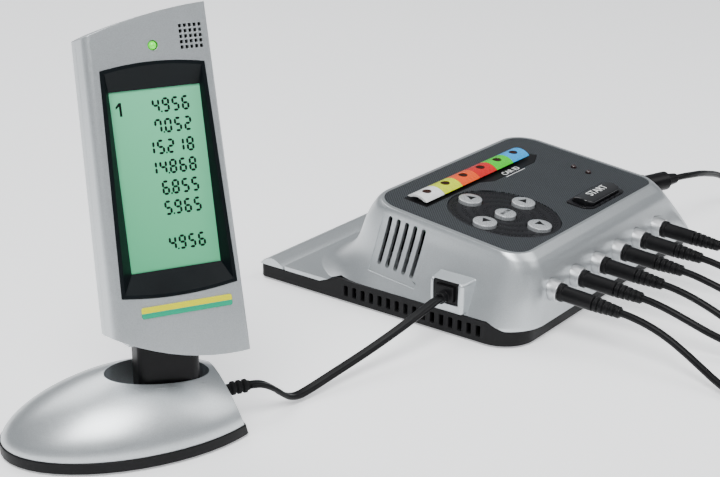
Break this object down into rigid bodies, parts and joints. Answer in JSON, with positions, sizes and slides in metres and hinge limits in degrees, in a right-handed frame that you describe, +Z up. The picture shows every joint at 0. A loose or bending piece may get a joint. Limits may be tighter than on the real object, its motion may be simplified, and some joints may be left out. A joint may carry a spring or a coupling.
{
  "type": "model track controller",
  "caption": "Track controller: silver base with colour-coded keys, arrow keypad and front sockets, joined by a cord to a lap display on a tilting stand.",
  "frame": {"origin": "on the ground under the middle of the control base (the middle rubber foot's underside)", "axes": "+Z up; +Y from the socket side towards the track; +X towards the START key, so the display stands on the -X side"},
  "size_m": [0.4596, 0.358, 0.1657],
  "materials": {
    "silver_case": "silver metallic-flake lacquer over moulded plastic, satin",
    "black_case": "black moulded plastic, fine texture",
    "panel_film": "dark graphic film with a fine woven look, satin",
    "key_silver": "silver lacquered key caps, satin",
    "key_black": "glossy black key cap with a white legend",
    "key_white": "white key cap, semi-gloss",
    "key_yellow": "yellow key cap, semi-gloss",
    "key_orange": "orange key cap, semi-gloss",
    "key_red": "red key cap, semi-gloss",
    "key_green": "green key cap, semi-gloss",
    "key_cyan": "cyan key cap, semi-gloss",
    "black_rubber": "soft black rubber",
    "cord_jacket": "smooth black cord jacket",
    "socket_metal": "nickel-plated collars",
    "plug_black": "black plug moulding with steel contacts",
    "circuit_board": "green circuit board",
    "switch_black": "black tactile switches",
    "heat_sink_metal": "plain aluminium fins",
    "steel": "zinc-plated steel",
    "lens_red": "dark red lens, unlit",
    "lens_green": "green lens, lit",
    "lcd": "pale green reflective display",
    "bezel_slate": "dark slate bezel, satin",
    "weight_iron": "rough cast weight"
  },
  "bodies": {
    "base": {"base_tray": "black_case", "top_shell": "silver_case", "track_edge_strip": "silver_case", "control_panel": "panel_film", "car_key_surround": "black_case", "keypad_surround": "black_case", "status_lights": "lens_red", "link_socket": "black_case", "link_plug": "plug_black", "throttle_sockets": "socket_metal", "throttle_plugs": "plug_black", "lead_connectors": "plug_black", "dc_socket": "black_case", "dc_plug": "plug_black", "power_adaptor": "black_case", "main_board": "circuit_board", "key_switches": "switch_black", "heat_sink": "heat_sink_metal", "case_screws": "steel", "rubber_feet": "black_rubber", "neck": "black_case", "stand_cover": "silver_case", "stand_base": "black_case", "stand_weight": "weight_iron", "cord_grommet": "black_rubber", "link_cord": "cord_jacket", "throttle_lead_1": "cord_jacket", "throttle_lead_2": "cord_jacket", "throttle_lead_3": "cord_jacket", "throttle_lead_4": "cord_jacket", "throttle_lead_5": "cord_jacket", "throttle_lead_6": "cord_jacket", "power_lead": "cord_jacket", "lead_coil_1": "cord_jacket", "lead_coil_2": "cord_jacket", "lead_coil_3": "cord_jacket", "lead_coil_4": "cord_jacket", "lead_coil_5": "cord_jacket", "lead_coil_6": "cord_jacket", "power_coil": "cord_jacket"},
    "display_head": {"head_front_case": "silver_case", "head_back_case": "silver_case", "screen_bezel": "bezel_slate", "lcd_panel": "lcd", "display_board": "circuit_board", "lap_light": "lens_green", "head_screws": "steel", "tilt_pin": "steel"},
    "car_key_1_cap": {"car_key_1": "key_white"},
    "car_key_2_cap": {"car_key_2": "key_yellow"},
    "car_key_3_cap": {"car_key_3": "key_orange"},
    "car_key_4_cap": {"car_key_4": "key_red"},
    "car_key_5_cap": {"car_key_5": "key_green"},
    "car_key_6_cap": {"car_key_6": "key_cyan"},
    "up_key_cap": {"up_key": "key_silver"},
    "down_key_cap": {"down_key": "key_silver"},
    "left_key_cap": {"left_key": "key_silver"},
    "right_key_cap": {"right_key": "key_silver"},
    "enter_key_cap": {"enter_key": "key_silver"},
    "start_key_cap": {"start_key": "key_black"}
  },
  "joints": [
    {"name": "head_tilt", "type": "hinge", "parent": "base", "child": "display_head", "pos_m": [-0.22924, -0.00292, 0.048], "axis": [0.8771, -0.4802, 0], "range_deg": [-18, 12]},
    {"name": "car_key_1_press", "type": "slide", "parent": "base", "child": "car_key_1_cap", "axis": [0, 0.1149, -0.9934], "range_m": [0, 0.001], "stiffness_N_per_m": 300, "springref_m": -0.0005},
    {"name": "car_key_2_press", "type": "slide", "parent": "base", "child": "car_key_2_cap", "axis": [0, 0.1149, -0.9934], "range_m": [0, 0.001], "stiffness_N_per_m": 300, "springref_m": -0.0005},
    {"name": "car_key_3_press", "type": "slide", "parent": "base", "child": "car_key_3_cap", "axis": [0, 0.1149, -0.9934], "range_m": [0, 0.001], "stiffness_N_per_m": 300, "springref_m": -0.0005},
    {"name": "car_key_4_press", "type": "slide", "parent": "base", "child": "car_key_4_cap", "axis": [0, 0.1149, -0.9934], "range_m": [0, 0.001], "stiffness_N_per_m": 300, "springref_m": -0.0005},
    {"name": "car_key_5_press", "type": "slide", "parent": "base", "child": "car_key_5_cap", "axis": [0, 0.1149, -0.9934], "range_m": [0, 0.001], "stiffness_N_per_m": 300, "springref_m": -0.0005},
    {"name": "car_key_6_press", "type": "slide", "parent": "base", "child": "car_key_6_cap", "axis": [0, 0.1149, -0.9934], "range_m": [0, 0.001], "stiffness_N_per_m": 300, "springref_m": -0.0005},
    {"name": "up_key_press", "type": "slide", "parent": "base", "child": "up_key_cap", "axis": [0, 0.1149, -0.9934], "range_m": [0, 0.001], "stiffness_N_per_m": 300, "springref_m": -0.0005},
    {"name": "down_key_press", "type": "slide", "parent": "base", "child": "down_key_cap", "axis": [0, 0.1149, -0.9934], "range_m": [0, 0.001], "stiffness_N_per_m": 300, "springref_m": -0.0005},
    {"name": "left_key_press", "type": "slide", "parent": "base", "child": "left_key_cap", "axis": [0, 0.1149, -0.9934], "range_m": [0, 0.001], "stiffness_N_per_m": 300, "springref_m": -0.0005},
    {"name": "right_key_press", "type": "slide", "parent": "base", "child": "right_key_cap", "axis": [0, 0.1149, -0.9934], "range_m": [0, 0.001], "stiffness_N_per_m": 300, "springref_m": -0.0005},
    {"name": "enter_key_press", "type": "slide", "parent": "base", "child": "enter_key_cap", "axis": [0, 0.1149, -0.9934], "range_m": [0, 0.001], "stiffness_N_per_m": 300, "springref_m": -0.0005},
    {"name": "start_key_press", "type": "slide", "parent": "base", "child": "start_key_cap", "axis": [0, 0.1149, -0.9934], "range_m": [0, 0.001], "stiffness_N_per_m": 300, "springref_m": -0.0005}
  ]
}
